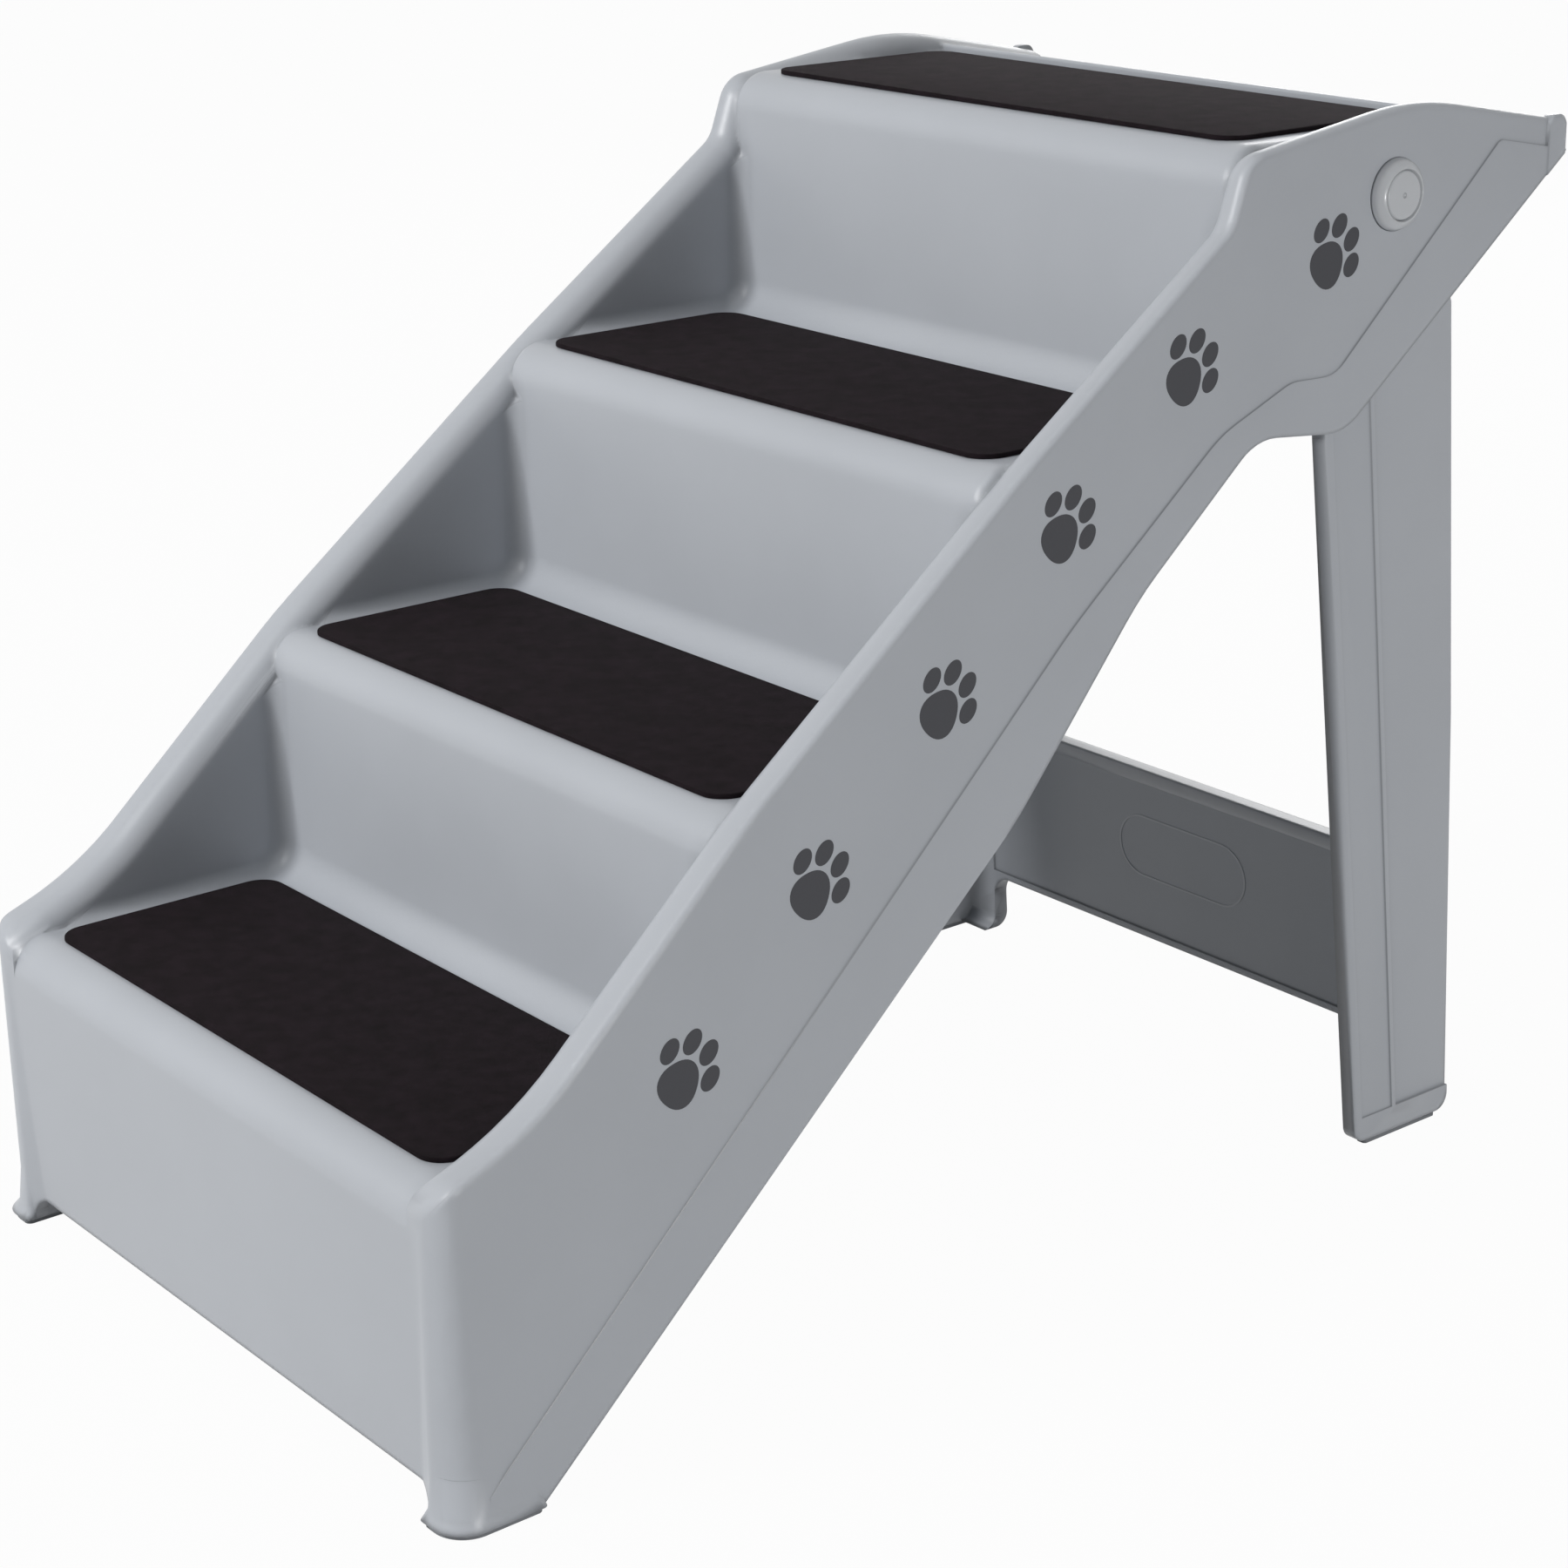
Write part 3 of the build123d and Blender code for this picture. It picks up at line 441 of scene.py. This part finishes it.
def felt_mat(node):
    """A felt mat with rounded corners and a softened upper edge."""
    low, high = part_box(node)
    width = high[0] - low[0]
    depth = high[1] - low[1]
    thickness = high[2] - low[2]
    middle = ((low[0] + high[0]) / 2, (low[1] + high[1]) / 2, low[2])
    shape = rounded_rectangle(middle, width, depth, CORNER_MM * MM, CORNER_SEGMENTS)
    thicken(shape, (0, 0, thickness))
    rim = [
        edge for edge in shape.edges
        if all(abs(point.co.z - high[2]) < LEVEL_WITHIN_MM * MM for point in edge.verts)
    ]
    bmesh.ops.bevel(
        shape, geom=rim, offset=EDGE_ROLL_MM * MM, affect="EDGES",
        segments=3, profile=0.5, material=-1,
    )
    bmesh.ops.recalc_face_normals(shape, faces=shape.faces)
    mesh = mesh_of(shape, node + "_felt")
    shade_by_angle(mesh)
    piece = place(mesh, node + "_felt", body_of(node), mat_felt)
    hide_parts(node)
    return piece


mats = [
    felt_mat(part["node"])
    for part in frame["record"]["subparts"]
    if part["material_slot"] == "mat_felt"
]
print("mats:", len(mats))

# %% [markdown]
# ## Paw prints
# Six paw prints walk up each side panel. On the real stairs they are pad-printed: a silicone
# pad lays a thin film of ink on the plastic. A mask in the plastic's material could paint
# them, but thin geometry keeps their outline sharp in every view and in the exported model.
# Each print is one lobed pad and four oval toes, made from circles and given the thickness
# of a film, which sinks a hair into the panel so that no gap shows. The panels lean inwards,
# so the prints are drawn flat and then laid on the panel's plane. Every print points up the
# slope of the stairs.

# %% Paw print measures
PANEL_FOOT_MM = 190.0
PANEL_LEAN_MM = 9.5
PANEL_RISE_MM = 508.0
FILM_MM = 0.12
SINK_MM = 0.05
PAD_HEADING = radians(43)
PAD_RADIUS_MM = 10.4
PAD_LOBES = 3
PAD_LOBE_SHARE = 0.055
TOE_HALF_LENGTH_MM = 5.8
TOE_HALF_WIDTH_MM = 4.2
TOE_HEADING = radians(51)
OVAL_SEGMENTS = 40
# Places along the panel and above the floor, from the top tread down
PAD_PLACES_MM = (
    (162.8, 445.0), (75.5, 406.1), (3.5, 350.0),
    (-64.1, 287.6), (-134.0, 225.8), (-203.5, 162.7),
)
TOE_PLACES_MM = ((-3.9, 15.3), (7.5, 16.3), (15.5, 9.4), (15.8, -1.9))


# %% Paw prints
def add_oval(shape, placing, half_length, half_width, lobe=0.0):
    """A flat oval in a bmesh, with soft lobes where a pad wants them."""
    made = bmesh.ops.create_circle(shape, cap_ends=True, segments=OVAL_SEGMENTS, radius=1.0)
    ring = made["verts"]
    for point in ring:
        point.co *= 1 + lobe * cos(PAD_LOBES * atan2(point.co.y, point.co.x))
    bmesh.ops.scale(shape, vec=(half_length * MM, half_width * MM, 1), verts=ring)
    bmesh.ops.transform(shape, matrix=placing, verts=ring)


def paw_prints(side):
    """The prints of one side panel; side is 1 for the right and -1 for the left."""
    shape = bmesh.new()
    for pad_y, pad_z in PAD_PLACES_MM:
        centre = Matrix.Translation((pad_y * MM, pad_z * MM, -SINK_MM * MM))
        pad = centre @ Matrix.Rotation(PAD_HEADING, 4, "Z")
        add_oval(shape, pad, PAD_RADIUS_MM, PAD_RADIUS_MM, PAD_LOBE_SHARE)
        for toe_y, toe_z in TOE_PLACES_MM:
            toe = centre @ Matrix.Translation((toe_y * MM, toe_z * MM, 0))
            toe = toe @ Matrix.Rotation(TOE_HEADING, 4, "Z")
            add_oval(shape, toe, TOE_HALF_LENGTH_MM, TOE_HALF_WIDTH_MM)
    thicken(shape, (0, 0, (FILM_MM + SINK_MM) * MM))
    along = Vector((0, 1, 0))
    up = Vector((-PANEL_LEAN_MM, 0, PANEL_RISE_MM)).normalized()
    outward = along.cross(up)
    panel = Matrix((along, up, outward)).transposed().to_4x4()
    panel.translation = (PANEL_FOOT_MM * MM, 0, 0)
    bmesh.ops.transform(shape, matrix=panel, verts=shape.verts)
    bmesh.ops.scale(shape, vec=(side, 1, 1), verts=shape.verts)
    bmesh.ops.recalc_face_normals(shape, faces=shape.faces)
    name = "paw_prints_" + ("right" if side > 0 else "left")
    return place(mesh_of(shape, name), name, "stairs", paw_ink)


prints = [paw_prints(side) for side in (1, -1)]
print("paw prints:", len(PAD_PLACES_MM), "on each of", len(prints), "panels")

# %% [markdown]
# ## Details of the cross member
# The mould leaves a raised oblong line on the front of the leg frame's cross member. It is a
# rectangle whose corners are rounded until its ends are half circles, inset to leave a narrow
# ring, and raised by a fraction of a millimetre. A soft roll, half an oval in section,
# stiffens the upper edge between the legs. A bump pattern could suggest both, but real relief
# catches the light along its edge and is kept in the exported mesh. Both are made lying on
# the level, and are then laid on the sloping front face. Both take the paler line finish,
# whose colour paints a highlight along them.

# %% Cross member's front face
# Where the face stands at the oblong's middle, and how far it leans over its height
OBLONG_MIDDLE_MM = 87.6
FACE_MIDDLE_MM = 274.47
FACE_LEAN_MM = 13.7
FACE_FALL_MM = 210.5


def lay_on_cross_member(shape, name, height_mm, material):
    """Lay a shape that was made on the level on the sloping front face, at a height."""
    across = Vector((1, 0, 0))
    up = Vector((0, -FACE_LEAN_MM, FACE_FALL_MM)).normalized()
    outward = across.cross(up)
    face = Matrix((across, up, outward)).transposed().to_4x4()
    drop_mm = OBLONG_MIDDLE_MM - height_mm
    back_mm = FACE_MIDDLE_MM + drop_mm * FACE_LEAN_MM / FACE_FALL_MM
    face.translation = Vector((0, back_mm, height_mm)) * MM
    bmesh.ops.transform(shape, matrix=face, verts=shape.verts)
    bmesh.ops.recalc_face_normals(shape, faces=shape.faces)
    return place(mesh_of(shape, name), name, "leg", material)


# %% Oblong outline
OBLONG_LENGTH_MM = 93.0
OBLONG_HEIGHT_MM = 35.6
OBLONG_LINE_MM = 1.1
OBLONG_RELIEF_MM = 0.4
OBLONG_SEGMENTS = 16
# Just under half the height, so that the two arcs of an end don't run into each other
END_ROUNDING_SHARE = 0.499


def oblong_outline():
    """The raised oblong line on the cross member's front face."""
    shape = rounded_rectangle(
        (0, 0, 0), OBLONG_LENGTH_MM * MM, OBLONG_HEIGHT_MM * MM,
        END_ROUNDING_SHARE * OBLONG_HEIGHT_MM * MM, OBLONG_SEGMENTS,
    )
    field = list(shape.faces)
    bmesh.ops.inset_region(
        shape, faces=field, thickness=OBLONG_LINE_MM * MM, use_even_offset=True,
        use_boundary=True,
    )
    bmesh.ops.delete(shape, geom=field, context="FACES_ONLY")
    thicken(shape, (0, 0, (OBLONG_RELIEF_MM + SINK_MM) * MM))
    bmesh.ops.translate(shape, vec=(0, 0, -SINK_MM * MM), verts=shape.verts)
    # The outline takes the paler line finish, a painted highlight
    return lay_on_cross_member(shape, "oblong_outline", OBLONG_MIDDLE_MM, line_plastic_painted_highlight)


outline = oblong_outline()
print("oblong outline:", len(outline.data.polygons), "faces")

# %% Upper roll
ROLL_MIDDLE_MM = 128.1
ROLL_HALF_HEIGHT_MM = 4.2
ROLL_PROUD_MM = 2.0
ROLL_LENGTH_MM = 339.0
ROLL_SEGMENTS = 32


def upper_roll():
    """The roll along the cross member's upper edge."""
    shape = bmesh.new()
    bmesh.ops.create_circle(shape, cap_ends=True, segments=ROLL_SEGMENTS, radius=1.0)
    bmesh.ops.scale(
        shape, vec=(ROLL_PROUD_MM * MM, ROLL_HALF_HEIGHT_MM * MM, 1), verts=shape.verts,
    )
    bmesh.ops.rotate(shape, matrix=Matrix.Rotation(pi / 2, 3, "Y"), verts=shape.verts)
    bmesh.ops.translate(shape, vec=(-ROLL_LENGTH_MM / 2 * MM, 0, 0), verts=shape.verts)
    thicken(shape, (ROLL_LENGTH_MM * MM, 0, 0))
    # The roll takes the paler line finish, a painted highlight
    piece = lay_on_cross_member(shape, "cross_member_roll", ROLL_MIDDLE_MM, line_plastic_painted_highlight)
    shade_by_angle(piece.data)
    return piece


cross_member_roll = upper_roll()
print("cross member roll:", len(cross_member_roll.data.polygons), "faces")

# %% [markdown]
# ## Camera
# The photograph was taken with a long lens from the front right, a little above the top
# tread. A shorter lens close by would make the near foot look too large. The camera's place
# and angles were worked out from the stairs' straight edges.

# %% Camera
LENS_MM = 75.86
SENSOR_MM = 36.0
FAR_CLIP = 50.0
CAMERA_PLACE = (1.1484, -0.9247, 0.7114)
CAMERA_HEADING_DEG = 51.08
CAMERA_DOWN_DEG = 19.37
CAMERA_ROLL_DEG = -0.47

camera_data = bpy.data.cameras.new("camera")
camera_data.lens = LENS_MM
camera_data.sensor_width = SENSOR_MM
camera_data.clip_end = FAR_CLIP
camera = bpy.data.objects.new("camera", camera_data)
camera.location = CAMERA_PLACE
heading = Matrix.Rotation(radians(CAMERA_HEADING_DEG), 4, "Z")
tilt = Matrix.Rotation(radians(90 - CAMERA_DOWN_DEG), 4, "X")
roll = Matrix.Rotation(radians(CAMERA_ROLL_DEG), 4, "Z")
camera.rotation_euler = (heading @ tilt @ roll).to_euler()
bpy.context.scene.collection.objects.link(camera)
bpy.context.scene.camera = camera
print("camera:", LENS_MM, "mm lens at", CAMERA_PLACE)

# %% [markdown]
# ## Floor and background
# The studio is white. A white floor and a white world would also throw their light under the
# stairs and into the dark corners, so what the camera sees and what lights the object are
# kept apart: a Light Path node shows white to the camera and to reflections, and every other
# ray meets the plain shader. The floor's plain colour is a mid grey, so that little light
# bounces up from it, and a small share of it is kept for the faint shadow.

# %% White for the camera
def white_for_camera(tree, plain_shader, keep):
    """White to the camera and to mirrors, and a share of the plain shader for its shadow."""
    path = add_node(tree, "ShaderNodeLightPath")
    seen = add_node(
        tree, "ShaderNodeMath", {"operation": "MAXIMUM"},
        {0: path.outputs["Is Camera Ray"], 1: path.outputs["Is Glossy Ray"]},
    )
    share = add_node(
        tree, "ShaderNodeMath", {"operation": "MULTIPLY"}, {0: seen.outputs["Value"], 1: keep},
    )
    glow = add_node(tree, "ShaderNodeEmission", None, {"Color": (1, 1, 1, 1), "Strength": 1.0})
    return add_node(
        tree, "ShaderNodeMixShader", None,
        {0: share.outputs["Value"], 1: plain_shader, 2: glow.outputs["Emission"]},
    )


# %% Floor
FLOOR_RADIUS = 12.0
FLOOR_COLOUR = "#9A9A9A"
FLOOR_WHITE_SHARE = 0.97

floor_shape = bmesh.new()
bmesh.ops.create_circle(floor_shape, cap_ends=True, segments=64, radius=FLOOR_RADIUS)
floor_mesh = mesh_of(floor_shape, "floor")
floor = bpy.data.objects.new("floor", floor_mesh)
bpy.context.scene.collection.objects.link(floor)
floor_paint, floor_tree, floor_surface = new_material("white_studio_floor")
floor_surface.inputs["Base Color"].default_value = linear(FLOOR_COLOUR)
floor_surface.inputs["Roughness"].default_value = 0.9
floor_mix = white_for_camera(floor_tree, floor_surface.outputs["BSDF"], FLOOR_WHITE_SHARE)
floor_out = next(node for node in floor_tree.nodes if node.type == "OUTPUT_MATERIAL")
floor_tree.links.new(floor_mix.outputs["Shader"], floor_out.inputs["Surface"])
floor_mesh.materials.append(floor_paint)
print("floor:", FLOOR_RADIUS, "m in radius")

# %% [markdown]
# ## Light
# The main lamp stands in front, a little to the left and high, so the noses are brightest
# and the risers a step darker. A low lamp lights the side rail and leaves the walls inside
# the rails dark, and weak ones above and behind fill the rest. Area lamps are used because
# their size softens the shadows, as a studio's soft boxes do.

# %% World and lamps
WORLD_STRENGTH = 0.2
LAMP_TARGET = Vector((0, 0, 0.25))
# Name, place and width in metres, power in watts
LAMPS = (
    ("front_lamp", (-0.5, -2.6, 1.9), 0.8, 69.0),
    ("top_lamp", (-0.4, -0.8, 3.0), 1.6, 5.0),
    ("side_lamp", (2.8, -0.1, 0.2), 0.4, 25.0),
    ("rear_lamp", (-1.6, 2.6, 1.1), 1.2, 20.0),
)

world = bpy.data.worlds.new("studio")
world.use_nodes = True
bpy.context.scene.world = world
world_tree = world.node_tree
world_tree.nodes.clear()
soft = add_node(
    world_tree, "ShaderNodeBackground", None,
    {"Color": (1, 1, 1, 1), "Strength": WORLD_STRENGTH},
)
world_mix = white_for_camera(world_tree, soft.outputs["Background"], 1.0)
add_node(world_tree, "ShaderNodeOutputWorld", None, {"Surface": world_mix.outputs["Shader"]})

for lamp_name, lamp_place, lamp_width, lamp_power in LAMPS:
    lamp_data = bpy.data.lights.new(lamp_name, "AREA")
    lamp_data.size = lamp_width
    lamp_data.energy = lamp_power
    lamp = bpy.data.objects.new(lamp_name, lamp_data)
    lamp.location = lamp_place
    aim = LAMP_TARGET - Vector(lamp_place)
    lamp.rotation_euler = aim.to_track_quat("-Z", "Y").to_euler()
    bpy.context.scene.collection.objects.link(lamp)

bpy.context.scene.view_settings.view_transform = "Standard"
print("lamps:", len(LAMPS))
